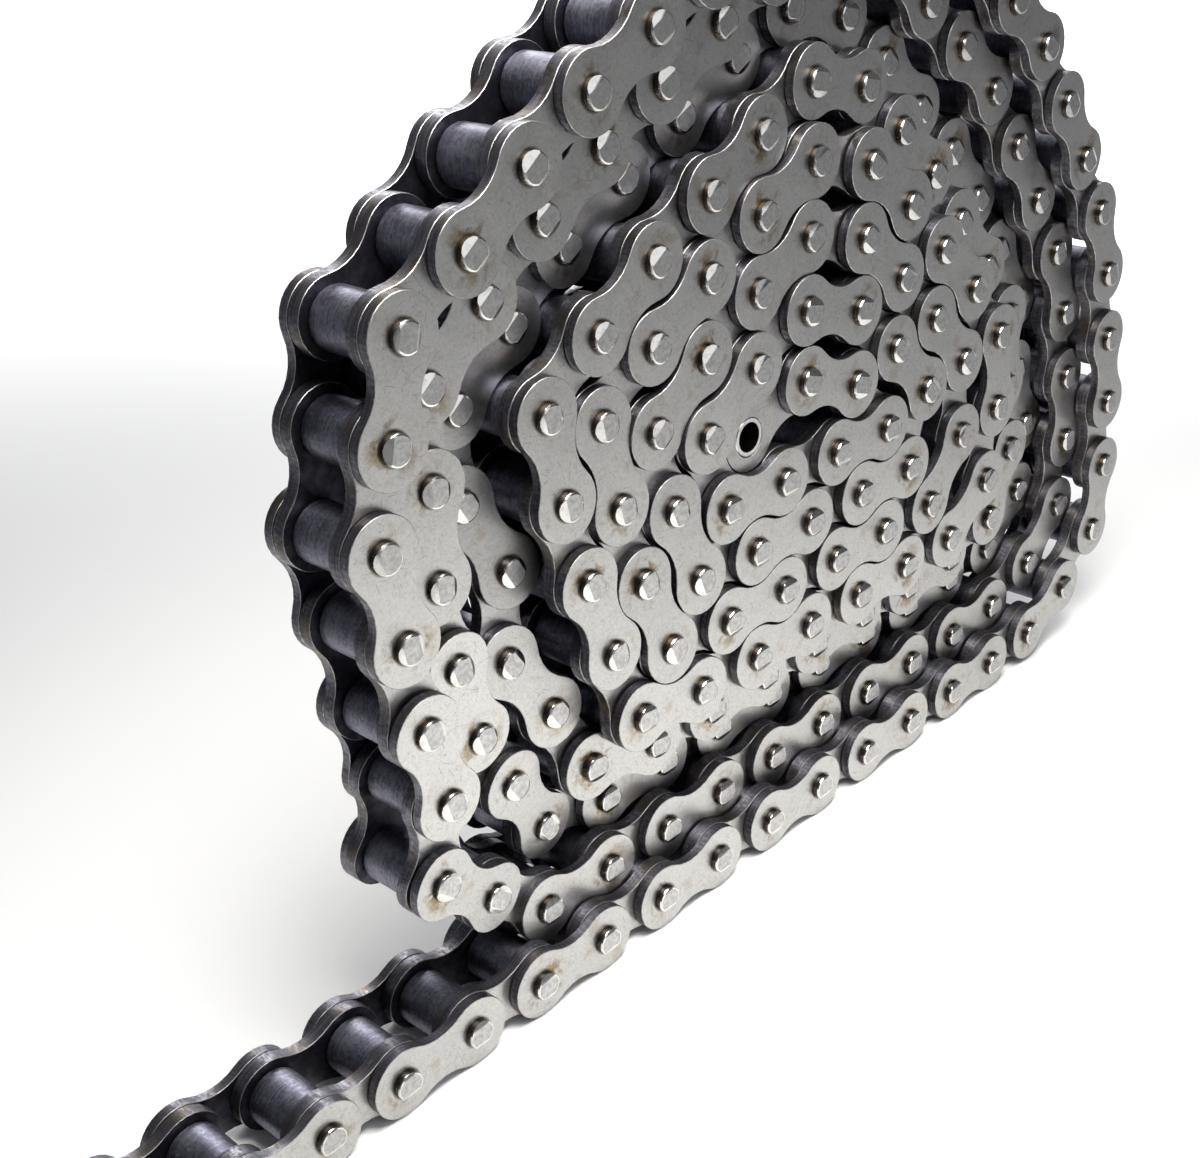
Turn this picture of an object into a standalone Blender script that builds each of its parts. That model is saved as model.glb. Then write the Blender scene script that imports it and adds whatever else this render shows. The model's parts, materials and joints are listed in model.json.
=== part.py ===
"""Five metres of roller chain, 25.4 mm pitch, wound into a flat spiral that stands on edge.

The outer end lies along the floor as a straight tail, whose last six links turn on their pins, and their
rollers on their bushings. Each lap of the coil is one solid with the gaps between its plates and rollers
cut into it; the links at both ends and between the laps are real separate pieces: inner links with their
bushings, outer links with their pins, and loose rollers.
The coil stands on Z = 0, and its side faces look along Y. The front is at -Y.
"""
import math

import bmesh
import bpy
import numpy as np
from mathutils import Matrix, Vector

MM = 0.001

# Driving dimensions of the chain, millimetres
PITCH = 25.4
LINKS = 197
PLATE_R = 10.35
WAIST_HALF = 6.8
ROLLER_R = 7.94
PIN_R = 4.14
BORE_R = 4.50
BUSHING_R = 5.90
ROLLER_BORE_R = 6.25
INNER_FROM = 8.50
INNER_TO = 12.55
OUTER_FROM = 12.85
OUTER_TO = 15.90
PIN_END = 18.05
ROLLER_HALF = 8.20
# How far the bushings reach into the inner plates that they are one solid with
FUSE = 2.0

# How finely round things are cut, how near two corners are one, and how flat two faces are to be one
WIDEST_STEP = math.radians(60)
WELD = 0.001
FLAT = math.radians(0.1)
PIN_SIDES = 6
ROUND_SIDES = 8
# What turns in the tail has more sides, so that it clears its neighbour at every angle
TURNING_SIDES = 16

# How close two laps may come, and how far a lap stands from its neighbour in depth
GAP = 0.3
PLATES_CLEAR_AT = OUTER_TO - INNER_FROM + 0.2
ROLLERS_CLEAR_AT = 2 * INNER_FROM - 0.2
PLATES_PASS_AT = 2 * OUTER_TO

# Settling the laps: passes, how many of them hold the pins to the route, and how firmly
PASSES = 500
HELD_PASSES = 400
HOLD = 0.1

# The chain's route, lap by lap from the outer end: pitches on from the point before, then X, Z and the
# depth Y of that pin, millimetres, chosen by hand from the photograph's side view of the coil
ROUTE = (
    # tail and first lap, from the floor up the right side, over the top and down the left side
    (0, -204, 10.3, 0), (21, 330, 10.3, 0), (1, 354, 21, 0), (1, 372, 39, 0), (1, 379, 62, 0),
    (2, 375, 114, 0), (2, 361, 164, 0), (2, 332, 204, -1), (2, 297, 241, -1), (2, 260, 270, -1),
    (1, 237, 280, -1), (1, 211, 282, -1), (1, 186, 277, -1), (2, 140, 257, -1), (2, 95, 235, -1),
    (2, 53, 206, -1), (2, 41, 159, -1), (2, 46, 110, -1), (1, 52, 85, 1), (1, 48, 58, 4),
    # second lap, behind the first
    (1, 69, 41, 7), (1, 90, 26, 8), (9, 315, 27, 8), (1, 339, 36, 8), (1, 359, 50, 8), (1, 363, 76, 8),
    (2, 354, 125, 8), (2, 336, 171, 8), (2, 303, 211, 8), (2, 265, 245, 7), (1, 244, 259, 7),
    (1, 219, 265, 7), (1, 194, 259, 7), (2, 151, 242, 7), (2, 105, 220, 7), (2, 65, 191, 7),
    (2, 60, 141, 7), (1, 64, 118, 8), (1, 71, 93, 10), (1, 83, 68, 13),
    # third lap, the deepest
    (1, 98, 43, 16), (1, 124, 42, 16), (8, 325, 42, 16), (1, 341, 60, 16), (1, 346, 85, 16),
    (2, 335, 133, 16), (2, 309, 176, 16), (2, 271, 213, 15), (2, 234, 245, 15), (1, 211, 248, 15),
    (1, 187, 243, 15), (2, 140, 221, 15), (2, 102, 194, 15), (1, 82, 178, 15), (1, 80, 152, 15),
    (1, 93, 130, 13), (1, 87, 106, 12), (1, 99, 83, 11),
    # fourth lap, coming forward again
    (1, 111, 62, 9), (1, 133, 60, 8), (3, 210, 55, 8), (3, 287, 58, 8), (1, 311, 63, 8), (1, 325, 84, 8),
    (2, 319, 134, 8), (2, 291, 178, 8), (2, 252, 214, 6), (1, 233, 231, 5), (1, 207, 235, 4),
    (2, 159, 215, 2), (2, 118, 189, 2), (1, 98, 174, 2), (2, 109, 124, 1), (1, 115, 99, 1),
    # fifth lap, in the front plane
    (1, 125, 75, 0), (1, 151, 73, 0), (5, 278, 72, 0), (1, 298, 87, 0), (1, 302, 112, 0), (1, 302, 136, 0),
    (2, 268, 176, 0), (2, 229, 211, 0), (1, 205, 214, 1), (2, 159, 193, 1), (2, 118, 166, 2),
    (2, 128, 116, 1),
    # sixth lap
    (1, 135, 92, 0), (5, 260, 92, 0), (1, 276, 112, 0), (1, 276, 136, 0), (2, 244, 174, 0),
    (1, 225, 190, 0), (1, 201, 193, 1), (2, 157, 171, 1), (1, 136, 157, 1), (1, 142, 133, 1),
    # seventh lap, and the inner end
    (1, 149, 109, 0), (4, 250, 109, 0), (1, 261, 130, 0), (1, 247, 152, 0), (1, 226, 167, 0),
    (1, 201, 172, 0), (1, 178, 163, 0), (1, 156, 149, 0), (1, 163, 126, 0), (3, 239, 126, 0),
    (1, 225, 146, 0), (1, 200, 150, 0), (1, 176, 142, 0),
)

# First and last link of each lap that is one solid. Even links are inner links, odd ones are outer links.
LAPS = ((6, 48), (50, 84), (86, 116), (118, 142), (144, 162), (164, 178), (180, 192))
# Laps that lie side by side in the front plane have their rollers hidden, so their inner links are solid
PLAIN_LAPS = (6, 7)
TAIL_LINKS = range(0, 6)
END_LINKS = range(193, LINKS)

PLATE_COLOUR, PLATE_ROUGHNESS = (0.33, 0.32, 0.30), 0.42
ROLLER_COLOUR, ROLLER_ROUGHNESS = (0.10, 0.10, 0.12), 0.30


def guide_points():
    """Every pin's first place: evenly spaced between the route's points."""
    plan, depth = [], []
    for count, x, z, y in ROUTE:
        if count == 0:
            plan.append((x, z))
            depth.append(y)
            continue
        x0, z0 = plan[-1]
        y0 = depth[-1]
        for step in range(1, count + 1):
            part = step / count
            plan.append((x0 + (x - x0) * part, z0 + (z - z0) * part))
            depth.append(y0 + (y - y0) * part)
    return np.array(plan, float), np.array(depth, float)


def least_distances(depth):
    """How far apart two pins, and a pin and a link's middle line, must stay for their depths."""
    apart = np.abs(depth[:, None] - depth[None, :])
    station = np.arange(len(depth))
    near = np.abs(station[:, None] - station[None, :])
    nested = (apart >= PLATES_CLEAR_AT) & (apart <= ROLLERS_CLEAR_AT)
    free = apart > PLATES_PASS_AT
    pin_to_pin = np.where(nested, ROLLER_R + PLATE_R, 2 * PLATE_R) + GAP
    pin_to_pin[free | (near < 2)] = 0
    nested = nested[:, :-1] & nested[:, 1:]
    free = free[:, :-1] & free[:, 1:]
    pin_to_link = np.where(nested, ROLLER_R + WAIST_HALF, PLATE_R + WAIST_HALF) + GAP
    pin_to_link[free | (near[:, :-1] < 3)] = 0
    return pin_to_pin, pin_to_link


def push_apart(offset, wanted):
    """The push on each row's point that takes it as far from the others as wanted."""
    distance = np.linalg.norm(offset, axis=2)
    short = np.maximum(wanted - distance, 0)
    return offset * (short / np.maximum(distance, WELD))[..., None]


def settle(plan, depth):
    """Holds the pins one pitch apart, the laps clear of each other and all of it above the floor.

    The pins are drawn back to their first places, less and less as it goes on.
    """
    guide = plan.copy()
    span = np.sqrt(PITCH ** 2 - np.diff(depth) ** 2)
    pin_to_pin, pin_to_link = least_distances(depth)
    for step in range(PASSES):
        plan += HOLD * max(0, 1 - step / HELD_PASSES) * (guide - plan)
        plan += 0.5 * push_apart(plan[:, None] - plan[None, :], pin_to_pin).sum(axis=1)

        start, along = plan[:-1], np.diff(plan, axis=0)
        reach = plan[:, None] - start[None, :]
        part = np.clip((reach * along).sum(axis=2) / (along ** 2).sum(axis=1), 0, 1)[..., None]
        push = 0.5 * push_apart(reach - part * along, pin_to_link)
        plan += push.sum(axis=1)
        plan[:-1] -= (push * (1 - part)).sum(axis=0)
        plan[1:] -= (push * part).sum(axis=0)
        plan[:, 1] = np.maximum(plan[:, 1], PLATE_R)

        for first in (0, 1, 0, 1):
            a, b = plan[first:-1:2], plan[first + 1::2]
            line = b - a
            length = np.linalg.norm(line, axis=1)
            fix = line * (0.5 * (length - span[first::2]) / length)[:, None]
            plan[first:-1:2] += fix
            plan[first + 1::2] -= fix
    return plan


def pin_places():
    """Every pin's X, Z and depth, with the origin under the middle of the whole coil."""
    plan, depth = guide_points()
    plan = settle(plan, depth)
    reach = np.full(len(depth), OUTER_TO)
    for link in outer_links():
        reach[link:link + 2] = PIN_END
    middle_x = (plan[:, 0].min() + plan[:, 0].max()) / 2
    middle_y = ((depth - reach).min() + (depth + reach).max()) / 2
    return plan + (-middle_x, PLATE_R - plan[:, 1].min()), depth - middle_y


def outer_links():
    """The outer links that are pieces of their own."""
    ends = [link for link in (*TAIL_LINKS, *END_LINKS) if not is_inner(link)]
    return ends + [last + 1 for _, last in LAPS[:-1]]


def ring_angles(plan, station, both_tips):
    """Angles of the corners of the round plate end at a pin, and the marks where its links begin.

    The tip that points along an outer link is hidden between its plates, and a lap leaves it out.
    """
    waist = math.asin(WAIST_HALF / PLATE_R)
    marks, straight = {}, []
    for other, name in ((station - 1, "back"), (station + 1, "on")):
        if not 0 <= other < len(plan):
            continue
        dx, dz = plan[other] - plan[station]
        middle = math.atan2(dz, dx)
        marks[name, "low"] = (middle - waist) % math.tau
        marks[name, "high"] = (middle + waist) % math.tau
        if both_tips or is_inner(min(station, other)):
            marks[name, "tip"] = middle % math.tau
        else:
            straight.append(marks[name, "low"])
    angles = sorted(marks.values())
    filled = []
    for index, angle in enumerate(angles):
        width = (angles[(index + 1) % len(angles)] - angle) % math.tau
        parts = 1 if angle in straight else math.ceil(width / WIDEST_STEP)
        filled += [(angle + width * step / parts) % math.tau for step in range(parts)]
    return sorted(filled), marks


def is_inner(link):
    """Whether a link is an inner one: they take turns, and the chain begins and ends with one."""
    return link % 2 == 0


def sides_at(station, plain):
    """How many sides something round at a pin has: a plain number, or more in the tail."""
    return TURNING_SIDES if station <= TAIL_LINKS.stop else plain


def ring_points(plan, station, angles, radius=PLATE_R):
    """The corners at those angles around a pin."""
    x, z = plan[station]
    return [(x + radius * math.cos(a), z + radius * math.sin(a)) for a in angles]


def facing_arc(angles, marks, name):
    """Places in the ring of the corners that face a neighbouring pin."""
    low, high = angles.index(marks[name, "low"]), angles.index(marks[name, "high"])
    return [(low + step) % len(angles) for step in range((high - low) % len(angles) + 1)]


def add_plate(mesh, chain, link, near, far, both_tips):
    """One plate of a link: two round ends and a waist, drawn flat at near and extruded to far.

    Returns {pin: (the round end at near, the round end at far)}.
    """
    plan, depth = chain
    flat, waist = {}, []
    for station, name in ((link, "on"), (link + 1, "back")):
        angles, marks = ring_angles(plan, station, both_tips)
        y = depth[station] + near
        verts = [mesh.verts.new((x * MM, y * MM, z * MM)) for x, z in ring_points(plan, station, angles)]
        flat[station] = mesh.faces.new(verts)
        waist += [verts[place] for place in facing_arc(angles, marks, name)]
    faces = [*flat.values(), mesh.faces.new(waist)]
    grown = bmesh.ops.extrude_face_region(mesh, geom=faces, use_keep_orig=True)["geom"]
    step = Vector((0, (far - near) * MM, 0))
    grown_verts = [item for item in grown if isinstance(item, bmesh.types.BMVert)]
    bmesh.ops.translate(mesh, vec=step, verts=grown_verts)
    far_faces = [item for item in grown if isinstance(item, bmesh.types.BMFace)]
    ends = {}
    for station, face in flat.items():
        middle = face.calc_center_median() + step
        ends[station] = (face, min(far_faces, key=lambda f: (f.calc_center_median() - middle).length))
    return ends


def open_round_end(mesh, plan, station, face):
    """Cuts a roller's outline out of a lap's round end, and returns the outline's corners.

    The roller has a corner inside each of the round end's, but for the tips.
    """
    angles, marks = ring_angles(plan, station, both_tips=False)
    tips = [angle for (_, side), angle in marks.items() if side == "tip"]
    y = face.verts[0].co.y
    corners = [Vector((x * MM, y, z * MM)) for x, z in ring_points(plan, station, angles)]
    outer = [min(face.verts, key=lambda v: (v.co - corner).length) for corner in corners]
    inner = {}
    for place, (x, z) in enumerate(ring_points(plan, station, angles, ROLLER_R)):
        if angles[place] not in tips:
            inner[place] = mesh.verts.new((x * MM, y, z * MM))
    mesh.faces.remove(face)
    places = list(inner)
    for place, after in zip(places, places[1:] + places[:1]):
        steps = (after - place) % len(angles)
        rim = [outer[(place + step) % len(angles)] for step in range(steps + 1)]
        mesh.faces.new(rim + [inner[after], inner[place]])
    return list(inner.values())


def join_roller(mesh, plan, station, faces):
    """A roller between the inner faces of two plate ends."""
    front, back = (open_round_end(mesh, plan, station, face) for face in faces)
    for place in range(len(front)):
        mesh.faces.new((front[place - 1], front[place], back[place], back[place - 1]))


def drop_flat_corners(mesh):
    """Takes out the corners that lie inside a flat face, and the seams halfway up a straight wall."""
    mesh.normal_update()
    flat = [vert for vert in mesh.verts
            if all(face.normal.angle(vert.link_faces[0].normal) < FLAT for face in vert.link_faces)]
    bmesh.ops.dissolve_verts(mesh, verts=flat)
    mesh.normal_update()
    seams = []
    for edge in mesh.edges:
        level = abs(edge.verts[0].co.y - edge.verts[1].co.y) < WELD * MM
        wall = abs(edge.link_faces[0].normal.y) < FLAT
        if level and wall and edge.calc_face_angle() < FLAT:
            seams.append(edge)
    bmesh.ops.dissolve_edges(mesh, edges=seams, use_verts=True)


def lap_mesh(chain, first, last, plain):
    """One lap: inner and outer plates in turn on both sides, welded at the pins, with rollers between."""
    mesh = bmesh.new()
    bearing, meeting = {}, {}
    for link in range(first, last + 1):
        if is_inner(link) and plain:
            ends = add_plate(mesh, chain, link, -INNER_TO, INNER_TO, both_tips=False)
            for station, (front, back) in ends.items():
                meeting.setdefault((station, -1), []).append(front)
                meeting.setdefault((station, 1), []).append(back)
            continue
        near, far = (INNER_FROM, INNER_TO) if is_inner(link) else (INNER_TO, OUTER_TO)
        for side in (-1, 1):
            ends = add_plate(mesh, chain, link, side * near, side * far, both_tips=False)
            for station, (near_end, far_end) in ends.items():
                if is_inner(link):
                    bearing.setdefault(station, []).append(near_end)
                meeting.setdefault((station, side), []).append(far_end if is_inner(link) else near_end)
    for station, faces in bearing.items():
        join_roller(mesh, chain[0], station, faces)
    for faces in meeting.values():
        if len(faces) == 2:
            for face in faces:
                mesh.faces.remove(face)
    bmesh.ops.remove_doubles(mesh, verts=mesh.verts, dist=WELD * MM)
    bmesh.ops.recalc_face_normals(mesh, faces=mesh.faces)
    drop_flat_corners(mesh)
    bmesh.ops.triangulate(mesh, faces=mesh.faces)
    return mesh


def steel(name, colour, roughness):
    """Bare steel."""
    material = bpy.data.materials.new(name)
    material.use_nodes = True
    shader = material.node_tree.nodes["Principled BSDF"]
    shader.inputs["Base Color"].default_value = (*colour, 1)
    shader.inputs["Metallic"].default_value = 1.0
    shader.inputs["Roughness"].default_value = roughness
    return material


def make_object(name, mesh, material, collection):
    """A named object from a bmesh."""
    data = bpy.data.meshes.new(name)
    mesh.to_mesh(data)
    mesh.free()
    data.materials.append(material)
    item = bpy.data.objects.new(name, data)
    collection.objects.link(item)
    return item


def add_bar(mesh, chain, station, radius, sides, reach):
    """A round bar along Y at a pin, reaching as far to both sides of the chain's middle."""
    plan, depth = chain
    made = bmesh.ops.create_cone(mesh, cap_ends=True, segments=sides, radius1=radius * MM,
                                 radius2=radius * MM, depth=2 * reach * MM)
    x, z = plan[station]
    place = Matrix.Translation((x * MM, depth[station] * MM, z * MM))
    bmesh.ops.transform(mesh, matrix=place @ Matrix.Rotation(math.pi / 2, 4, "X"), verts=made["verts"])


def combine(item, other_mesh, operation, material, collection):
    """Joins or cuts an object with a bmesh, and keeps the result as the object's own mesh."""
    helper = make_object("helper", other_mesh, material, collection)
    modifier = item.modifiers.new(operation.lower(), "BOOLEAN")
    modifier.operation = operation
    modifier.solver = "EXACT"
    modifier.object = helper
    bpy.context.view_layer.update()
    evaluated = item.evaluated_get(bpy.context.evaluated_depsgraph_get())
    made = bpy.data.meshes.new_from_object(evaluated)
    item.modifiers.remove(modifier)
    old = item.data
    item.data = made
    bpy.data.meshes.remove(old)
    used = helper.data
    bpy.data.objects.remove(helper)
    bpy.data.meshes.remove(used)


def plate_pair(name, chain, link, near, far, material, collection):
    """The two plates of one link, with both their round ends whole."""
    mesh = bmesh.new()
    for side in (-1, 1):
        add_plate(mesh, chain, link, side * near, side * far, both_tips=True)
    bmesh.ops.recalc_face_normals(mesh, faces=mesh.faces)
    return make_object(name, mesh, material, collection)


def bars(chain, stations, radius, sides, reach):
    """Round bars along Y at some pins."""
    mesh = bmesh.new()
    for station in stations:
        add_bar(mesh, chain, station, radius, sides, reach)
    return mesh


def inner_link(name, chain, link, material, collection):
    """Two inner plates held apart by two bushings, with a bore through each."""
    item = plate_pair(name, chain, link, INNER_FROM, INNER_TO, material, collection)
    ends = (link, link + 1)
    bushings = bars(chain, ends, BUSHING_R, sides_at(link + 1, ROUND_SIDES), INNER_FROM + FUSE)
    combine(item, bushings, "UNION", material, collection)
    bores = bars(chain, ends, BORE_R, sides_at(link + 1, PIN_SIDES), PIN_END)
    combine(item, bores, "DIFFERENCE", material, collection)


def outer_link(name, chain, link, material, collection):
    """Two outer plates riveted on two pins."""
    item = plate_pair(name, chain, link, OUTER_FROM, OUTER_TO, material, collection)
    pins = bars(chain, (link, link + 1), PIN_R, sides_at(link + 1, PIN_SIDES), PIN_END)
    combine(item, pins, "UNION", material, collection)


def roller(name, chain, station, material, collection):
    """A loose roller around a bushing."""
    sides = sides_at(station, ROUND_SIDES)
    item = make_object(name, bars(chain, [station], ROLLER_R, sides, ROLLER_HALF), material, collection)
    bore = bars(chain, [station], ROLLER_BORE_R, sides, PIN_END)
    combine(item, bore, "DIFFERENCE", material, collection)


def lap(name, chain, first, last, plain, material, collection):
    """A lap as one solid, with an open bushing at each end for the link that joins it to the next."""
    item = make_object(name, lap_mesh(chain, first, last, plain), material, collection)
    for station in (first, last + 1):
        bore = bars(chain, [station], BORE_R, sides_at(station, PIN_SIDES), PIN_END)
        combine(item, bore, "DIFFERENCE", material, collection)


def main():
    for item in list(bpy.data.objects):
        bpy.data.objects.remove(item)
    coil = bpy.data.collections.new("roller_chain_coil")
    bpy.context.scene.collection.children.link(coil)
    plate_steel = steel("plate_steel", PLATE_COLOUR, PLATE_ROUGHNESS)
    roller_steel = steel("roller_steel", ROLLER_COLOUR, ROLLER_ROUGHNESS)

    chain = pin_places()
    for number, (first, last) in enumerate(LAPS, 1):
        lap(f"lap_{number}", chain, first, last, number in PLAIN_LAPS, plate_steel, coil)
    for number, (_, last) in enumerate(LAPS[:-1], 1):
        outer_link(f"lap_{number}_joining_link", chain, last + 1, plate_steel, coil)
    for group, links in (("tail", TAIL_LINKS), ("inner_end", END_LINKS)):
        for count, link in enumerate(links, 1):
            if not is_inner(link):
                outer_link(f"{group}_outer_link_{count}", chain, link, plate_steel, coil)
                continue
            inner_link(f"{group}_inner_link_{count}", chain, link, plate_steel, coil)
            for side, station in (("a", link), ("b", link + 1)):
                roller(f"{group}_roller_{count}{side}", chain, station, roller_steel, coil)


main()
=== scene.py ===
import json
import math
import random

import bmesh
import bpy
import numpy as np
from mathutils import Matrix, Vector


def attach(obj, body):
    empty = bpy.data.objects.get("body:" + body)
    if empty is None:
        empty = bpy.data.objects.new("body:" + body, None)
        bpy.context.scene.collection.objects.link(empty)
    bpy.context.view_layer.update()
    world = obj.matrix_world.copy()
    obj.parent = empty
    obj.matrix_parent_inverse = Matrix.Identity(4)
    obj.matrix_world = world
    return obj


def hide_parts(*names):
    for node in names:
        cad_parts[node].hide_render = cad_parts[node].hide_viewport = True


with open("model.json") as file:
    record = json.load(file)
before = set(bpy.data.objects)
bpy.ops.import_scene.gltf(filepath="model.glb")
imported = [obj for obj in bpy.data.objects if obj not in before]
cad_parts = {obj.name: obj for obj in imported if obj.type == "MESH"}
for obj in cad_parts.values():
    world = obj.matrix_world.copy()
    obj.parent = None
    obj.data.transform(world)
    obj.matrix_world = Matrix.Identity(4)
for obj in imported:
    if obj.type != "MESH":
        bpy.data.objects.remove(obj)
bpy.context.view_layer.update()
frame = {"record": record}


# Camera: close to the coil's left end and a little above it, looking along the face and down, so that the
# tail leaves the frame at the lower left and the top is cut off.
CAMERA_PLACE = (-0.2583, -0.3106, 0.3270)
CAMERA_TURN = (63.155, 3.58, -46.14)
LENS_MM, SENSOR_MM = 51.28, 36

camera = bpy.data.objects.new("camera", bpy.data.cameras.new("camera"))
camera.data.lens = LENS_MM
camera.data.sensor_width = SENSOR_MM
camera.data.clip_start = 0.01
camera.location = CAMERA_PLACE
camera.rotation_euler = [math.radians(angle) for angle in CAMERA_TURN]
bpy.context.collection.objects.link(camera)
bpy.context.scene.camera = camera


# How the chain lies: 197 links on 198 pins, inner and outer links in turn, wound seven times round on a
# straight tail. The pins settle from a route, one pitch apart, with every lap clear of its neighbours,
# in the same way as the solids that the finished pieces stand for.
MM = 0.001
PITCH = 25.4
PLATE_R = 10.35
WAIST_HALF = 6.8
ROLLER_R = 7.94
INNER_FROM, INNER_TO = 8.50, 12.55
OUTER_FROM, OUTER_TO = 12.85, 15.90
PIN_END = 18.05
GAP = 0.3
PLATES_CLEAR_AT = OUTER_TO - INNER_FROM + 0.2
ROLLERS_CLEAR_AT = 2 * INNER_FROM - 0.2
PLATES_PASS_AT = 2 * OUTER_TO
PASSES, HELD_PASSES, HOLD = 500, 400, 0.1
NEVER_ZERO = 0.001

# Pitches on from the point before, then X, Z and the depth Y of that pin, from the outer end inwards
ROUTE = (
    # tail and first lap, from the floor up the right side, over the top and down the left side
    (0, -204, 10.3, 0), (21, 330, 10.3, 0), (1, 354, 21, 0), (1, 372, 39, 0), (1, 379, 62, 0),
    (2, 375, 114, 0), (2, 361, 164, 0), (2, 332, 204, -1), (2, 297, 241, -1), (2, 260, 270, -1),
    (1, 237, 280, -1), (1, 211, 282, -1), (1, 186, 277, -1), (2, 140, 257, -1), (2, 95, 235, -1),
    (2, 53, 206, -1), (2, 41, 159, -1), (2, 46, 110, -1), (1, 52, 85, 1), (1, 48, 58, 4),
    # second lap, behind the first
    (1, 69, 41, 7), (1, 90, 26, 8), (9, 315, 27, 8), (1, 339, 36, 8), (1, 359, 50, 8), (1, 363, 76, 8),
    (2, 354, 125, 8), (2, 336, 171, 8), (2, 303, 211, 8), (2, 265, 245, 7), (1, 244, 259, 7),
    (1, 219, 265, 7), (1, 194, 259, 7), (2, 151, 242, 7), (2, 105, 220, 7), (2, 65, 191, 7),
    (2, 60, 141, 7), (1, 64, 118, 8), (1, 71, 93, 10), (1, 83, 68, 13),
    # third lap, the deepest
    (1, 98, 43, 16), (1, 124, 42, 16), (8, 325, 42, 16), (1, 341, 60, 16), (1, 346, 85, 16),
    (2, 335, 133, 16), (2, 309, 176, 16), (2, 271, 213, 15), (2, 234, 245, 15), (1, 211, 248, 15),
    (1, 187, 243, 15), (2, 140, 221, 15), (2, 102, 194, 15), (1, 82, 178, 15), (1, 80, 152, 15),
    (1, 93, 130, 13), (1, 87, 106, 12), (1, 99, 83, 11),
    # fourth lap, coming forward again
    (1, 111, 62, 9), (1, 133, 60, 8), (3, 210, 55, 8), (3, 287, 58, 8), (1, 311, 63, 8), (1, 325, 84, 8),
    (2, 319, 134, 8), (2, 291, 178, 8), (2, 252, 214, 6), (1, 233, 231, 5), (1, 207, 235, 4),
    (2, 159, 215, 2), (2, 118, 189, 2), (1, 98, 174, 2), (2, 109, 124, 1), (1, 115, 99, 1),
    # fifth lap, in the front plane
    (1, 125, 75, 0), (1, 151, 73, 0), (5, 278, 72, 0), (1, 298, 87, 0), (1, 302, 112, 0), (1, 302, 136, 0),
    (2, 268, 176, 0), (2, 229, 211, 0), (1, 205, 214, 1), (2, 159, 193, 1), (2, 118, 166, 2),
    (2, 128, 116, 1),
    # sixth lap
    (1, 135, 92, 0), (5, 260, 92, 0), (1, 276, 112, 0), (1, 276, 136, 0), (2, 244, 174, 0),
    (1, 225, 190, 0), (1, 201, 193, 1), (2, 157, 171, 1), (1, 136, 157, 1), (1, 142, 133, 1),
    # seventh lap, and the inner end
    (1, 149, 109, 0), (4, 250, 109, 0), (1, 261, 130, 0), (1, 247, 152, 0), (1, 226, 167, 0),
    (1, 201, 172, 0), (1, 178, 163, 0), (1, 156, 149, 0), (1, 163, 126, 0), (3, 239, 126, 0),
    (1, 225, 146, 0), (1, 200, 150, 0), (1, 176, 142, 0),
)
# First and last link of each lap that is one solid, and the separate links at both ends
LAPS = ((6, 48), (50, 84), (86, 116), (118, 142), (144, 162), (164, 178), (180, 192))
TAIL_LINKS = range(0, 6)
END_LINKS = range(193, 197)


def guide_points():
    """Every pin's first place: evenly spaced between the route's points."""
    plan, depth = [], []
    for count, x, z, y in ROUTE:
        if count == 0:
            plan.append((x, z))
            depth.append(y)
            continue
        x0, z0 = plan[-1]
        y0 = depth[-1]
        for step in range(1, count + 1):
            part = step / count
            plan.append((x0 + (x - x0) * part, z0 + (z - z0) * part))
            depth.append(y0 + (y - y0) * part)
    return np.array(plan, float), np.array(depth, float)


def least_distances(depth):
    """How far apart two pins, and a pin and a link's middle line, must stay for their depths."""
    apart = np.abs(depth[:, None] - depth[None, :])
    station = np.arange(len(depth))
    near = np.abs(station[:, None] - station[None, :])
    nested = (apart >= PLATES_CLEAR_AT) & (apart <= ROLLERS_CLEAR_AT)
    free = apart > PLATES_PASS_AT
    pin_to_pin = np.where(nested, ROLLER_R + PLATE_R, 2 * PLATE_R) + GAP
    pin_to_pin[free | (near < 2)] = 0
    nested = nested[:, :-1] & nested[:, 1:]
    free = free[:, :-1] & free[:, 1:]
    pin_to_link = np.where(nested, ROLLER_R + WAIST_HALF, PLATE_R + WAIST_HALF) + GAP
    pin_to_link[free | (near[:, :-1] < 3)] = 0
    return pin_to_pin, pin_to_link


def push_apart(offset, wanted):
    """The push on each row's point that takes it as far from the others as wanted."""
    distance = np.linalg.norm(offset, axis=2)
    short = np.maximum(wanted - distance, 0)
    return offset * (short / np.maximum(distance, NEVER_ZERO))[..., None]


def settle(plan, depth):
    """Holds the pins one pitch apart, the laps clear of each other and all of it above the floor.

    The pins are drawn back to their first places, less and less as it goes on.
    """
    guide = plan.copy()
    span = np.sqrt(PITCH ** 2 - np.diff(depth) ** 2)
    pin_to_pin, pin_to_link = least_distances(depth)
    for step in range(PASSES):
        plan += HOLD * max(0, 1 - step / HELD_PASSES) * (guide - plan)
        plan += 0.5 * push_apart(plan[:, None] - plan[None, :], pin_to_pin).sum(axis=1)

        start, along = plan[:-1], np.diff(plan, axis=0)
        reach = plan[:, None] - start[None, :]
        part = np.clip((reach * along).sum(axis=2) / (along ** 2).sum(axis=1), 0, 1)[..., None]
        push = 0.5 * push_apart(reach - part * along, pin_to_link)
        plan += push.sum(axis=1)
        plan[:-1] -= (push * (1 - part)).sum(axis=0)
        plan[1:] -= (push * part).sum(axis=0)
        plan[:, 1] = np.maximum(plan[:, 1], PLATE_R)

        for first in (0, 1, 0, 1):
            a, b = plan[first:-1:2], plan[first + 1::2]
            line = b - a
            length = np.linalg.norm(line, axis=1)
            fix = line * (0.5 * (length - span[first::2]) / length)[:, None]
            plan[first:-1:2] += fix
            plan[first + 1::2] -= fix
    return plan


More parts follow.
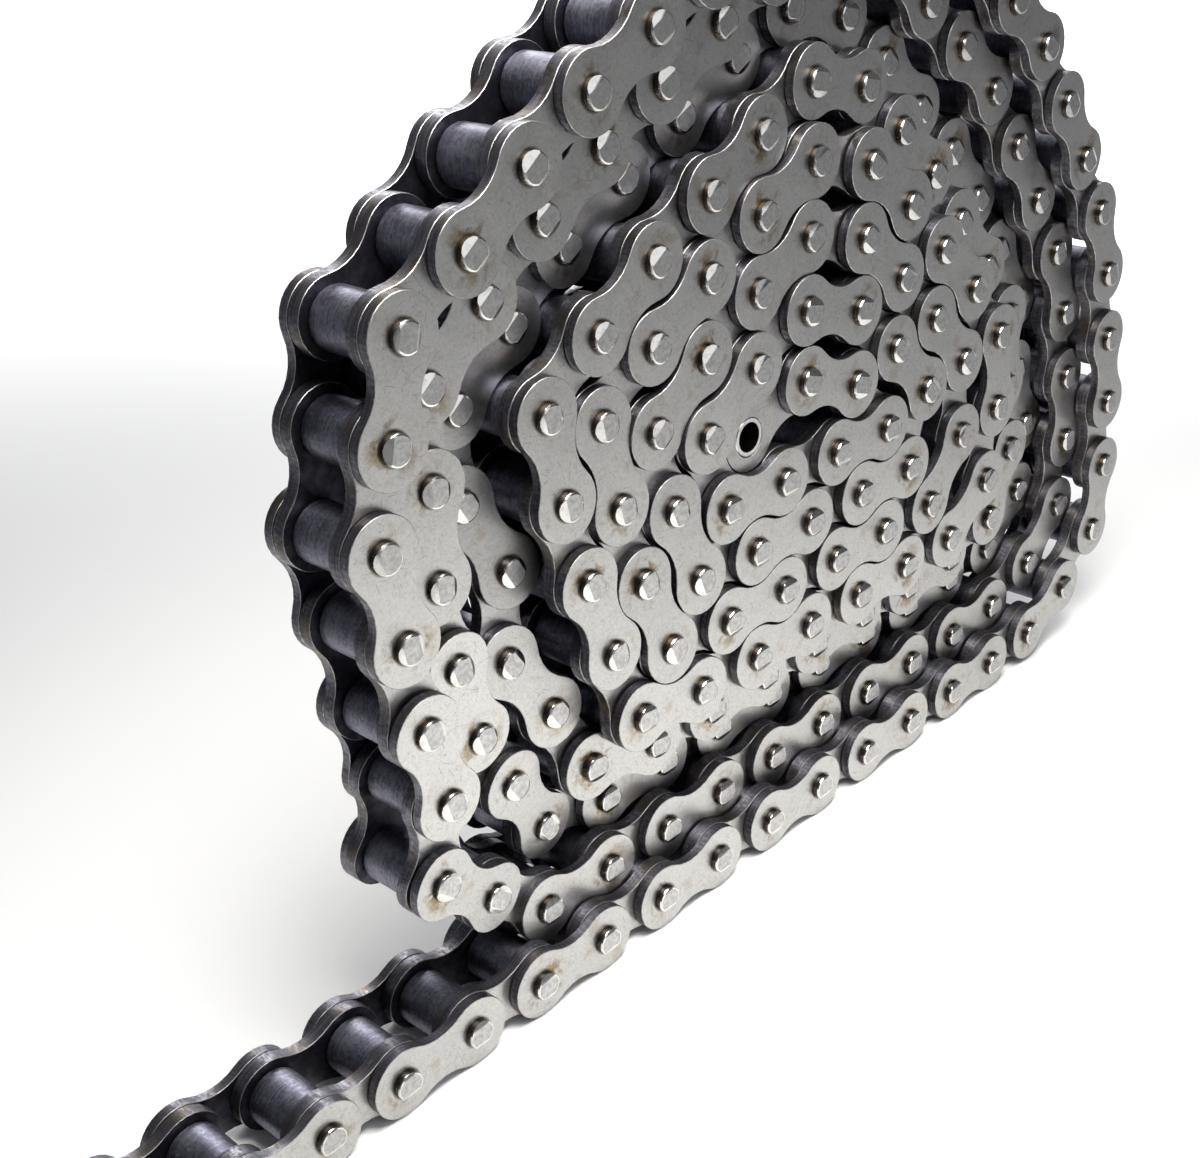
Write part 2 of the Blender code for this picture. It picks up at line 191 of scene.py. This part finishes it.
def pin_places(node_links):
    """Every pin's place in metres, with the origin under the middle of the whole coil."""
    plan, depth = guide_points()
    plan = settle(plan, depth)
    reach = np.full(len(depth), OUTER_TO)
    for links in node_links.values():
        if len(links) == 1 and not is_inner(links[0]):
            reach[links[0]:links[0] + 2] = PIN_END
    middle_x = (plan[:, 0].min() + plan[:, 0].max()) / 2
    middle_y = ((depth - reach).min() + (depth + reach).max()) / 2
    plan += (-middle_x, PLATE_R - plan[:, 1].min())
    return [Vector((x, y, z)) * MM for (x, z), y in zip(plan, depth - middle_y)]


def is_inner(link):
    """Whether a link is an inner one: they take turns, and the chain begins and ends with one."""
    return link % 2 == 0


def links_by_node():
    """The links that each CAD node holds: laps, the links that join them, and the links at both ends."""
    held = {f"lap_{number}": range(first, last + 1) for number, (first, last) in enumerate(LAPS, 1)}
    for number, (_, last) in enumerate(LAPS[:-1], 1):
        held[f"lap_{number}_joining_link"] = range(last + 1, last + 2)
    for end, links in (("tail", TAIL_LINKS), ("inner_end", END_LINKS)):
        for number, link in enumerate(links, 1):
            kind = "inner" if is_inner(link) else "outer"
            held[f"{end}_{kind}_link_{number}"] = range(link, link + 1)
    return held


node_links = links_by_node()
PINS = pin_places(node_links)


# Inner plates: two for every other link, punched from flat steel strip and pressed on the ends of two
# bushings. Punching and tumbling round the rims of both sides, and the edge between them stays torn. Oil
# darkens the edge. The inner side is painted near black: painted shade for the shade between the plates.
PIN_MIDDLE = PITCH / 2
RIM = 0.14
WELD = 0.001
# The Y of a face's normal: above LEVEL on a flat side or end, below SLOPING on an edge across the plate
LEVEL, SLOPING = 0.99, 0.1
SIDES = ("front", "back")
WAIST_STEPS, END_STEPS = 3, 10
BORE_SIDES = 20
BUSHING_R = 5.90
BORE_PLAY = 0.05
SMOOTH_TO = math.radians(40)
FACE, ROUND_RIM, TORN_EDGE, INNER_SIDE = range(4)
LIGHT_STEEL, DULL_STEEL = (0.47, 0.465, 0.455), (0.30, 0.30, 0.30)
# The dark brown is oil in the stains and on the pins' sides; in the ring round each pin's foot it is also
# painted shade.
OCHRE, BROWN_OIL_AND_SHADE, PIT = (0.23, 0.165, 0.065), (0.10, 0.07, 0.04), (0.12, 0.10, 0.09)
EDGE_DARK, EDGE_LIGHT, EDGE_BROWN = (0.085, 0.08, 0.10), (0.21, 0.205, 0.23), (0.14, 0.115, 0.07)
EDGE_NICK = (0.50, 0.46, 0.38)
RIM_DULL, RIM_BRIGHT = (0.26, 0.255, 0.25), (0.48, 0.475, 0.46)
# The two inner-side colours are painted shade: near black, for the shade that falls between the plates and
# rollers.
INNER_SHADE_DARK, INNER_SHADE_LIGHT = (0.040, 0.038, 0.052), (0.095, 0.092, 0.112)
dice = random.Random(16)


def plate_outline(mesh, y):
    """A plate's outline: a quarter spun from its waist and round its end, then mirrored twice."""
    hollow_r = (PIN_MIDDLE ** 2 + WAIST_HALF ** 2 - PLATE_R ** 2) / (2 * (PLATE_R - WAIST_HALF))
    lean = math.atan2(PIN_MIDDLE, WAIST_HALF + hollow_r)
    start = mesh.verts.new((0, y, WAIST_HALF))
    turns = (((0, y, WAIST_HALF + hollow_r), -lean, WAIST_STEPS),
             ((PIN_MIDDLE, y, 0), math.pi / 2 + lean, END_STEPS))
    last = [start]
    for centre, angle, steps in turns:
        spun = bmesh.ops.spin(mesh, geom=last, cent=centre, axis=(0, 1, 0), angle=angle, steps=steps)
        last = spun["geom_last"]
    for axis in "ZX":
        bmesh.ops.mirror(mesh, geom=mesh.verts[:] + mesh.edges[:], axis=axis, merge_dist=WELD)


def plate(near, far, bore=None):
    """A front plate in millimetres, filled and thickened, with a rounded rim on both of its sides."""
    mesh = bmesh.new()
    plate_outline(mesh, -near)
    if bore:
        for x in (-PIN_MIDDLE, PIN_MIDDLE):
            place = Matrix.Translation((x, -near, 0)) @ Matrix.Rotation(math.pi / 2, 4, "X")
            bmesh.ops.create_circle(mesh, segments=BORE_SIDES, radius=bore, matrix=place)
        bmesh.ops.triangle_fill(mesh, edges=mesh.edges[:], use_beauty=True)
    else:
        bmesh.ops.contextual_create(mesh, geom=mesh.edges[:])
    grown = bmesh.ops.extrude_face_region(mesh, geom=mesh.faces[:], use_keep_orig=True)["geom"]
    moved = [item for item in grown if isinstance(item, bmesh.types.BMVert)]
    bmesh.ops.translate(mesh, vec=(0, near - far, 0), verts=moved)
    bmesh.ops.recalc_face_normals(mesh, faces=mesh.faces)
    rim = [edge for edge in mesh.edges if is_rim(edge)]
    bmesh.ops.bevel(mesh, geom=rim, offset=RIM, offset_type="OFFSET", segments=1, profile=0.5,
                    affect="EDGES", material=-1)
    # Slots by facing: flat fronts are the face, the inner sides carry the near-black painted shade, slopes
    # are the rim, the rest the torn edge.
    for face in mesh.faces:
        inwards = face.normal.y
        if abs(inwards) > LEVEL:
            face.material_index = INNER_SIDE if inwards > 0 else FACE
        else:
            face.material_index = ROUND_RIM if abs(inwards) > SLOPING else TORN_EDGE
    return template(mesh)


def is_rim(edge):
    """Whether an edge runs round one of a plate's two sides."""
    slopes = sorted(abs(face.normal.y) for face in edge.link_faces)
    return slopes[0] < SLOPING and slopes[-1] > LEVEL


def template(mesh, sharp=SMOOTH_TO):
    """Keeps each point's place on the part, in millimetres, for the patterns that follow the part."""
    place = mesh.verts.layers.float_vector.new("place")
    mesh.verts.layers.float.new("tone")
    for vert in mesh.verts:
        vert[place] = vert.co
    for face in mesh.faces:
        face.smooth = True
    for edge in mesh.edges:
        edge.smooth = len(edge.link_faces) < 2 or edge.calc_face_angle() < sharp
    data = bpy.data.meshes.new("template")
    mesh.to_mesh(data)
    mesh.free()
    return data


def link_matrix(link, side):
    """Places a front plate's template on a link, or turns it round to the back."""
    start, end = PINS[link:link + 2]
    along = (end - start) / PITCH
    up = Vector((-along.z, 0, along.x)).normalized() * MM
    matrix = Matrix((along, (0, MM, 0), up)).transposed().to_4x4()
    matrix.translation = (start + end) / 2
    return matrix @ Matrix.Rotation(math.pi if side == "back" else 0, 4, "Z")


def joined(name, placed, materials):
    """One piece made of many like ones, each placed by its matrix and with a tone of its own."""
    mesh = bmesh.new()
    for kind, matrix in placed:
        first = len(mesh.verts)
        mesh.from_mesh(kind)
        mesh.verts.ensure_lookup_table()
        tone = mesh.verts.layers.float["tone"]
        own_tone = dice.random()
        for vert in mesh.verts[first:]:
            vert[tone] = own_tone
        bmesh.ops.transform(mesh, matrix=matrix, verts=mesh.verts[first:])
    data = bpy.data.meshes.new(name)
    mesh.to_mesh(data)
    mesh.free()
    for material in materials:
        data.materials.append(material)
    piece = bpy.data.objects.new(name, data)
    bpy.context.collection.objects.link(piece)
    return piece


def fit(piece, node):
    """Lets a piece stand for a CAD node: it moves with the node's body, and the node's own part is hidden.
    """
    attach(piece, body_of(node))
    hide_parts(node)


def body_of(node):
    """The body that a CAD node belongs to: the coil, or one link of the tail."""
    bodies = frame["record"].get("behaviour", {}).get("bodies", {"root": [node]})
    return next(body for body, nodes in bodies.items() if node in nodes)


class Finish:
    """A material of metal under construction: its nodes, and the places that its patterns read."""

    def __init__(self, name):
        self.material = bpy.data.materials.new(name)
        self.material.use_nodes = True
        self.tree = self.material.node_tree
        self.shader = self.tree.nodes["Principled BSDF"]
        self.shader.inputs["Metallic"].default_value = 1.0
        self.place = self.add("Attribute", attribute_name="place").outputs["Vector"]
        self.tone = self.add("Attribute", attribute_name="tone").outputs["Fac"]

    def add(self, kind, inputs=(), **settings):
        """A node with its settings, and each input set to a value or linked to an output."""
        node = self.tree.nodes.new("ShaderNode" + kind)
        for name, value in settings.items():
            setattr(node, name, value)
        for name, value in dict(inputs).items():
            if isinstance(value, bpy.types.NodeSocket):
                self.tree.links.new(value, node.inputs[name])
            else:
                node.inputs[name].default_value = value
        return node

    def maths(self, operation, a, b=0.0, c=0.0):
        """The result of a sum on one or more values."""
        return self.add("Math", {0: a, 1: b, 2: c}, operation=operation).outputs[0]

    def noise(self, scale, stretch=(1, 1, 1), turn=0.0, detail=2.0, seed=0.0, bend=0.0):
        """Noise over the part, so many waves a millimetre, and unlike on every copy of the part."""
        turned = self.add("Mapping", {"Vector": self.place, "Rotation": (0, turn, 0), "Scale": stretch})
        shift = self.maths("MULTIPLY_ADD", self.tone, 60.0, seed)
        made = self.add("TexNoise", {"Vector": turned.outputs[0], "W": shift, "Scale": scale,
                                     "Detail": detail, "Distortion": bend}, noise_dimensions="4D")
        return made.outputs["Fac"]

    def scratches(self, spacing, length, width, seed):
        """Short bent scratches in all directions: one in each cell of a random pattern over X and Z."""
        shift = self.maths("MULTIPLY_ADD", self.tone, 90.0, seed)
        place = self.add("SeparateXYZ", {0: self.place}).outputs
        x, z = (self.maths("ADD", place[axis], shift) for axis in ("X", "Z"))
        flat = self.add("CombineXYZ", {"X": x, "Y": z}).outputs[0]
        cell = self.add("TexVoronoi", {"Vector": flat, "Scale": 1 / spacing},
                        voronoi_dimensions="2D").outputs
        chance = self.add("SeparateXYZ", {0: cell["Color"]}).outputs
        offset = self.add("VectorMath", {0: flat, 1: cell["Position"]}, operation="SUBTRACT").outputs[0]
        angle = self.maths("MULTIPLY", chance["X"], math.pi)
        turned = self.add("VectorRotate", {"Vector": offset, "Angle": angle}, rotation_type="Z_AXIS")
        turned = self.add("SeparateXYZ", {0: turned.outputs[0]}).outputs
        along = self.maths("ABSOLUTE", turned["X"])
        bend = self.maths("MULTIPLY", self.maths("MULTIPLY", along, along), 0.12)
        bend = self.maths("MULTIPLY", bend, self.maths("SUBTRACT", chance["Y"], 0.5))
        across = self.maths("ABSOLUTE", self.maths("ADD", turned["Y"], bend))
        past_end = self.maths("SUBTRACT", along, self.maths("MULTIPLY", chance["Z"], length))
        thin = self.between(across, 0.4 * width, width, 1.0, 0.0)
        return self.maths("MULTIPLY", thin, self.between(past_end, -0.4 * length, 0.0, 1.0, 0.0))

    def between(self, value, low, high, to_low=0.0, to_high=1.0):
        """A value that rises smoothly from to_low to to_high as another goes from low to high."""
        made = self.add("MapRange", {"Value": value, "From Min": low, "From Max": high, "To Min": to_low,
                                     "To Max": to_high}, interpolation_type="SMOOTHSTEP")
        return made.outputs["Result"]

    def mix(self, share, a, b):
        """A colour between two others."""
        a, b = ((*c, 1) if isinstance(c, tuple) else c for c in (a, b))
        made = self.add("Mix", {0: share, 6: a, 7: b}, data_type="RGBA")
        return made.outputs[2]

    def pin_distance(self):
        """How far a point of a plate lies from its nearer pin, in millimetres."""
        flat = self.add("VectorMath", {0: self.place, 1: (1, 0, 1)}, operation="MULTIPLY")
        folded = self.add("VectorMath", {0: flat.outputs[0]}, operation="ABSOLUTE")
        apart = self.add("VectorMath", {0: folded.outputs[0], 1: (PIN_MIDDLE, 0, 0)}, operation="DISTANCE")
        return apart.outputs["Value"]

    def finish(self, colour, roughness, height=None, strength=0.2, depth=0.05):
        """Joins colour, roughness and height to the shader, and gives the material."""
        for name, value in (("Base Color", colour), ("Roughness", roughness)):
            if isinstance(value, bpy.types.NodeSocket):
                self.tree.links.new(value, self.shader.inputs[name])
            else:
                self.shader.inputs[name].default_value = value
        if height is not None:
            bump = self.add("Bump", {"Height": height, "Strength": strength, "Distance": depth * MM})
            self.tree.links.new(bump.outputs[0], self.shader.inputs["Normal"])
        return self.material


def plate_face():
    """Satin strip steel: clouded and grained, with short bent scratches, pits, rings and dried oil, and
    round each pin a dark ring, part oil and part painted shade.
    """
    made = Finish("plate_face")
    apart = made.pin_distance()
    clouds = made.noise(0.11, detail=3.0)
    grain = made.noise(1.3, detail=5.0, seed=3.0)
    marks = made.scratches(3.4, 2.2, 0.15, 5.0)
    marks = made.maths("MAXIMUM", marks, made.scratches(2.3, 1.0, 0.13, 17.0))
    marks = made.maths("MAXIMUM", marks, made.between(made.noise(1.6, detail=2.0, seed=29.0), 0.66, 0.72))
    patchy = made.between(made.noise(0.14, detail=2.0, seed=53.0), 0.38, 0.62, 0.1, 0.9)
    marks = made.maths("MULTIPLY", marks, patchy)
    specks = made.between(made.noise(2.4, detail=2.0, seed=61.0), 0.60, 0.72)
    rings = made.maths("SINE", made.maths("MULTIPLY_ADD", apart, 6.0, made.maths("MULTIPLY", grain, 4.0)))
    rings = made.maths("MULTIPLY", rings, made.between(apart, 6.0, 10.5, 1.0, 0.0))

    own = made.maths("MULTIPLY_ADD", made.tone, 0.20, made.maths("MULTIPLY", clouds, 0.45))
    own = made.maths("MULTIPLY_ADD", grain, 1.20, made.maths("SUBTRACT", own, 0.37))
    own = made.maths("MULTIPLY_ADD", rings, 0.05, own)
    colour = made.mix(own, DULL_STEEL, LIGHT_STEEL)
    colour = made.mix(made.maths("MULTIPLY", marks, 0.5), colour, PIT)
    colour = made.mix(made.maths("MULTIPLY", specks, 0.4), colour, PIT)

    often = made.between(made.noise(0.02, seed=47.0), 0.48, 0.60)
    blots = made.between(made.noise(0.22, detail=6.0, seed=31.0, bend=0.8), 0.47, 0.62)
    near_pin = made.between(apart, 5.0, 9.8, 1.0, 0.0)
    stain = made.maths("MULTIPLY", made.maths("MULTIPLY", near_pin, blots), often)
    rust = made.mix(made.between(grain, 0.35, 0.60), BROWN_OIL_AND_SHADE, OCHRE)
    colour = made.mix(made.maths("MULTIPLY", stain, 0.85), colour, rust)
    smear = made.between(made.noise(0.16, detail=5.0, seed=71.0, bend=0.6), 0.56, 0.70)
    colour = made.mix(made.maths("MULTIPLY", smear, 0.30), colour, OCHRE)
    # A dark brown ring round each pin's foot: part oil, part painted shade for the contact shadow where the
    # pin meets the plate.
    colour = made.mix(made.between(apart, 4.2, 5.0, 0.85, 0.0), colour, BROWN_OIL_AND_SHADE)

    rough = made.maths("MULTIPLY_ADD", grain, 0.14, made.maths("MULTIPLY_ADD", clouds, 0.12, 0.21))
    height = made.maths("MULTIPLY_ADD", grain, 0.8, made.maths("MULTIPLY", rings, 0.05))
    height = made.maths("SUBTRACT", height, made.maths("MULTIPLY", marks, 0.8))
    return made.finish(colour, rough, height, strength=0.4, depth=0.07)


def plate_rim():
    """The rounded rims of a punched plate, rubbed bright in places."""
    made = Finish("plate_rim")
    worn = made.noise(0.7, detail=3.0)
    colour = made.mix(made.between(worn, 0.38, 0.66), RIM_DULL, RIM_BRIGHT)
    return made.finish(colour, made.between(worn, 0.3, 0.7, 0.50, 0.36), worn, strength=0.15)


def plate_edge():
    """The torn edge of a punched plate: lines that follow the outline, brown patches and bright nicks."""
    made = Finish("plate_edge")
    lines = made.noise(1.0, stretch=(0.10, 2.0, 0.10), detail=3.0)
    tears = made.noise(1.1, stretch=(1.2, 0.5, 1.2), detail=4.0, seed=9.0)
    nicks = made.between(made.noise(1.1, stretch=(0.5, 1, 0.5), detail=3.0, seed=5.0), 0.66, 0.74)
    brown = made.between(made.noise(0.12, detail=3.0, seed=11.0), 0.50, 0.66)
    share = made.maths("MULTIPLY_ADD", lines, 0.5, made.maths("MULTIPLY", tears, 0.5))
    colour = made.mix(made.between(share, 0.38, 0.64), EDGE_DARK, made.mix(brown, EDGE_LIGHT, EDGE_BROWN))
    colour = made.mix(made.maths("MULTIPLY", nicks, 0.6), colour, EDGE_NICK)
    return made.finish(colour, made.between(tears, 0.35, 0.65, 0.50, 0.34), share, strength=0.5, depth=0.12)


def plate_inner_side_painted_shade():
    """The side of a plate that faces the middle of the chain, painted near black: painted shade for the
    shade between the plates.
    """
    made = Finish("plate_inner_side_painted_shade")
    shade_mottle = made.noise(0.3, detail=4.0)
    # Painted shade: the inner side is made near black, mottled a little.
    colour = made.mix(made.between(shade_mottle, 0.35, 0.7), INNER_SHADE_DARK, INNER_SHADE_LIGHT)
    return made.finish(colour, made.between(shade_mottle, 0.3, 0.7, 0.50, 0.38), shade_mottle, strength=0.15)


PLATE_STEEL = (plate_face(), plate_rim(), plate_edge(), plate_inner_side_painted_shade())
inner_plate = plate(INNER_FROM, INNER_TO)
bored_inner_plate = plate(INNER_FROM, INNER_TO, BUSHING_R + BORE_PLAY)
for node, links in node_links.items():
    kind = bored_inner_plate if len(links) == 1 else inner_plate
    placed = [(kind, link_matrix(link, side)) for link in links if is_inner(link) for side in SIDES]
    if placed:
        fit(joined(f"{node}_inner_plates", placed, PLATE_STEEL), node)


# Outer plates: punched like the inner ones but from thinner strip, and pressed on the two pins of every
# second link, outside the inner plates.
outer_plate = plate(OUTER_FROM, OUTER_TO)
for node, links in node_links.items():
    placed = [(outer_plate, link_matrix(link, side)) for link in links if not is_inner(link)
              for side in SIDES]
    if placed:
        fit(joined(f"{node}_outer_plates", placed, PLATE_STEEL), node)


# Pins: ground steel rod, two to each outer link, through the bushings and both outer plates. Each end is
# rounded and struck twice, which leaves a sloping flat on either side across the link and spreads the pin
# in its plate.
PIN_R = 4.14
PIN_RIM = 0.55
PIN_SIDES = 20
STRIKES = ((2.3, -2.7), (3.1, -1.9), (2.7, -2.3), (3.4, -2.1))
STRIKE_SLOPE, STRIKE_SHARP = math.radians(27), math.radians(20)
FLAT_WITHIN = math.radians(1)
PIN_END_FACE, PIN_STRUCK, PIN_SIDE = range(3)
# The darkest pin colour, for the ground sides, is painted shade: near black for the dark that the sides
# show.
PIN_BRIGHT, PIN_GREY, PIN_SHADE_DARK = (0.57, 0.565, 0.55), (0.42, 0.415, 0.41), (0.10, 0.09, 0.085)


def turned_about_y(points, sides, closed=False):
    """A mesh turned from a profile of radii and heights, whose last point may join its first."""
    mesh = bmesh.new()
    verts = [mesh.verts.new((r, y, 0)) for r, y in points]
    following = verts[1:] + verts[:1] if closed else verts[1:]
    edges = [mesh.edges.new(pair) for pair in zip(verts, following)]
    bmesh.ops.spin(mesh, geom=verts + edges, cent=(0, 0, 0), axis=(0, 1, 0), angle=math.tau,
                   steps=sides, use_merge=True)
    bmesh.ops.remove_doubles(mesh, verts=mesh.verts[:], dist=WELD)
    return mesh


def struck_pin(upper, lower):
    """A pin with rounded ends, each struck across the link from two heights outwards."""
    halfway = PIN_RIM * (1 - math.sqrt(0.5))
    profile = ((0, PIN_END), (PIN_R - PIN_RIM, PIN_END), (PIN_R - halfway, PIN_END - halfway),
               (PIN_R, PIN_END - PIN_RIM))
    mesh = turned_about_y([*profile, *((r, -y) for r, y in reversed(profile))], PIN_SIDES)
    bmesh.ops.dissolve_limit(mesh, angle_limit=FLAT_WITHIN, verts=mesh.verts[:], edges=mesh.edges[:])
    for end in (-1, 1):
        for height in (upper, lower):
            side = math.copysign(1, height)
            normal = (0, end * math.cos(STRIKE_SLOPE), side * math.sin(STRIKE_SLOPE))
            cut = bmesh.ops.bisect_plane(mesh, geom=mesh.verts[:] + mesh.edges[:] + mesh.faces[:],
                                         plane_co=(0, end * PIN_END, height), plane_no=normal,
                                         clear_outer=True)
            edges = [item for item in cut["geom_cut"] if isinstance(item, bmesh.types.BMEdge)]
            bmesh.ops.contextual_create(mesh, geom=edges)
    bmesh.ops.recalc_face_normals(mesh, faces=mesh.faces)
    for face in mesh.faces:
        endwards = abs(face.normal.y)
        if endwards > LEVEL:
            face.material_index = PIN_END_FACE
        else:
            face.material_index = PIN_STRUCK if endwards > SLOPING else PIN_SIDE
    return template(mesh, STRIKE_SHARP)


def pin_matrix(link, station):
    """Places a pin's template at a station, level with its link."""
    run = PINS[link + 1] - PINS[link]
    turn = Matrix.Rotation(-math.atan2(run.z, run.x), 4, "Y")
    return Matrix.Translation(PINS[station]) @ turn @ Matrix.Scale(MM, 4)


def pin_end_face():
    """The pin's flat end: dull, with a few marks and specks."""
    made = Finish("pin_end_face")
    marks = made.noise(0.9, detail=4.0)
    specks = made.between(made.noise(2.0, seed=3.0), 0.62, 0.72)
    colour = made.mix(made.between(marks, 0.3, 0.7), DULL_STEEL, PIN_GREY)
    colour = made.mix(made.maths("MULTIPLY", specks, 0.5), colour, PIT)
    return made.finish(colour, made.between(marks, 0.3, 0.7, 0.44, 0.34), marks, strength=0.3)


def pin_struck():
    """The struck edges and the rounded rim of the pin's end, bright and smooth."""
    made = Finish("pin_struck")
    dents = made.noise(0.7, detail=3.0)
    colour = made.mix(made.between(dents, 0.25, 0.55), PIN_GREY, PIN_BRIGHT)
    return made.finish(colour, 0.18, dents, strength=0.25)


def pin_side_painted_shade():
    """The ground side of the pin, painted near black as painted shade for the dark it shows, and in places
    brown with oil.
    """
    made = Finish("pin_side_painted_shade")
    smears = made.noise(0.5, stretch=(1, 0.4, 1), detail=3.0)
    # Painted shade: the side is near black, with brown oil smears over it.
    colour = made.mix(made.between(smears, 0.5, 0.7), PIN_SHADE_DARK, BROWN_OIL_AND_SHADE)
    return made.finish(colour, made.between(smears, 0.3, 0.7, 0.22, 0.35), smears, strength=0.2)


PIN_STEEL = (pin_end_face(), pin_struck(), pin_side_painted_shade())
pin_kinds = [struck_pin(*heights) for heights in STRIKES]
for node, links in node_links.items():
    placed = [(pin_kinds[(link // 2 + station) % len(pin_kinds)], pin_matrix(link, station))
              for link in links if not is_inner(link) for station in (link, link + 1)]
    if placed:
        fit(joined(f"{node}_pins", placed, PIN_STEEL), node)


# Bushings: steel tubes, two to each inner link, pressed in the inner plates, and turning on the pins. They
# show where the chain ends, and the separate links have them whole.
BORE_R = 4.50
BUSHING_CHAMFER = 0.3
BUSHING_END = INNER_TO - BORE_PLAY


def turned_tube(outer, bore, end, chamfer, sides):
    """A tube along Y, turned from its section."""
    half = ((bore, end), (outer - chamfer, end), (outer, end - chamfer))
    mesh = turned_about_y([*half, *((r, -y) for r, y in reversed(half))], sides, closed=True)
    bmesh.ops.recalc_face_normals(mesh, faces=mesh.faces)
    return template(mesh)


# The bushings' sides take the pins' side finish, painted near black as painted shade.
BUSHING_STEEL = (PIN_STEEL[PIN_STRUCK], PIN_STEEL[PIN_SIDE])
bushing = turned_tube(BUSHING_R, BORE_R, BUSHING_END, BUSHING_CHAMFER, BORE_SIDES)
for face in bushing.polygons:
    face.material_index = 0 if abs(face.normal.y) > 0.5 else 1
for node, links in node_links.items():
    if len(links) == 1 and is_inner(links[0]):
        placed = [(bushing, pin_matrix(links[0], station)) for station in (links[0], links[0] + 1)]
        fit(joined(f"{node}_bushings", placed, BUSHING_STEEL), node)


# Rollers: hardened steel sleeves that turn on the bushings, between the inner plates. They are blued
# dark by the hardening, and rubbed along their length.
ROLLER_HALF = 8.20
ROLLER_BORE_R = 6.25
ROLLER_CHAMFER = 0.5
ROLLER_SIDES = 24
ROLLER_DARK, ROLLER_LIGHT = (0.11, 0.11, 0.145), (0.27, 0.27, 0.33)
ROLLER_NICK = (0.45, 0.44, 0.46)


def roller_blue():
    """Blued steel, satin and mottled, with rubbed patches, fine lines round it and a few bright nicks."""
    made = Finish("roller_blue")
    rubbed = made.noise(0.15, stretch=(1, 0.5, 1), detail=3.0)
    mottle = made.noise(1.2, detail=4.0, seed=9.0)
    lines = made.noise(1.0, stretch=(0.12, 2.5, 0.12), detail=3.0, seed=19.0)
    nicks = made.between(made.noise(0.9, detail=3.0, seed=27.0), 0.68, 0.73)
    share = made.maths("MULTIPLY_ADD", mottle, 0.35, made.maths("MULTIPLY", rubbed, 0.35))
    share = made.maths("MULTIPLY_ADD", lines, 0.3, share)
    colour = made.mix(made.between(share, 0.40, 0.62), ROLLER_DARK, ROLLER_LIGHT)
    colour = made.mix(made.maths("MULTIPLY", nicks, 0.7), colour, ROLLER_NICK)
    return made.finish(colour, made.between(rubbed, 0.3, 0.7, 0.40, 0.50), share, strength=0.3)


ROLLER_STEEL = (roller_blue(),)
roller = turned_tube(ROLLER_R, ROLLER_BORE_R, ROLLER_HALF, ROLLER_CHAMFER, ROLLER_SIDES)
for node, links in node_links.items():
    placed = [(roller, pin_matrix(link, station)) for link in links if is_inner(link)
              for station in (link, link + 1)]
    if len(links) > 1:
        fit(joined(f"{node}_rollers", placed, ROLLER_STEEL), node)
    elif placed:
        for letter, sleeve in zip("ab", placed):
            loose = node.replace("inner_link", "roller") + letter
            fit(joined(f"{loose}_sleeve", [sleeve], ROLLER_STEEL), loose)


# Floor: a wide sheet of matt white paper that the chain stands on, which isn't part of it.
FLOOR_HALF = 6.0
FLOOR_WHITE, FLOOR_MATT = (0.92, 0.92, 0.92, 1), 0.9

mesh = bmesh.new()
bmesh.ops.create_grid(mesh, x_segments=1, y_segments=1, size=FLOOR_HALF)
floor_data = bpy.data.meshes.new("floor")
mesh.to_mesh(floor_data)
mesh.free()
paper = bpy.data.materials.new("paper")
paper.use_nodes = True
paper.node_tree.nodes["Principled BSDF"].inputs["Base Color"].default_value = FLOOR_WHITE
paper.node_tree.nodes["Principled BSDF"].inputs["Roughness"].default_value = FLOOR_MATT
floor_data.materials.append(paper)
floor = bpy.data.objects.new("floor", floor_data)
bpy.context.collection.objects.link(floor)


# Light: a wide softbox over the paper behind the coil, a small one close above its face, whose pool on the
# paper the lower plates mirror, a wide one in front that the struck pins mirror, and a narrow one over the
# paper at the right, in a grey room. The plain view transform keeps the paper white, and the oil and the
# painted shade black.

# Each softbox: its place, what it aims at, its side in metres, watts, spread in degrees and colour
SOFTBOXES = (
    ((1.3, 1.5, 1.0), (1.3, 1.6, 0.0), 1.6, 60.0, 170, (1.0, 1.0, 1.0)),
    ((0.05, -0.13, 0.46), (0.07, -0.1, 0.0), 0.30, 1.70, 100, (1.0, 0.985, 0.94)),
    ((0.2, -1.4, 0.84), (0.1, 0.0, 0.15), 1.25, 5.3, 170, (1.0, 1.0, 1.0)),
    ((0.85, 0.4, 0.8), (0.85, 0.4, 0.0), 0.4, 2.5, 60, (1.0, 1.0, 1.0)),
)
ROOM_GREY, ROOM_STRENGTH = (0.62, 0.635, 0.68, 1), 0.21
bpy.context.scene.view_settings.view_transform = "Standard"

for number, (place, aim, side, watts, spread, colour) in enumerate(SOFTBOXES, 1):
    light = bpy.data.objects.new(f"softbox_{number}", bpy.data.lights.new(f"softbox_{number}", "AREA"))
    light.data.shape = "SQUARE"
    light.data.size = side
    light.data.energy = watts
    light.data.spread = math.radians(spread)
    light.data.color = colour
    light.location = place
    light.rotation_euler = (Vector(aim) - Vector(place)).to_track_quat("-Z", "Y").to_euler()
    bpy.context.collection.objects.link(light)
world = bpy.data.worlds.new("room")
world.use_nodes = True
world.node_tree.nodes["Background"].inputs["Color"].default_value = ROOM_GREY
world.node_tree.nodes["Background"].inputs["Strength"].default_value = ROOM_STRENGTH
bpy.context.scene.world = world
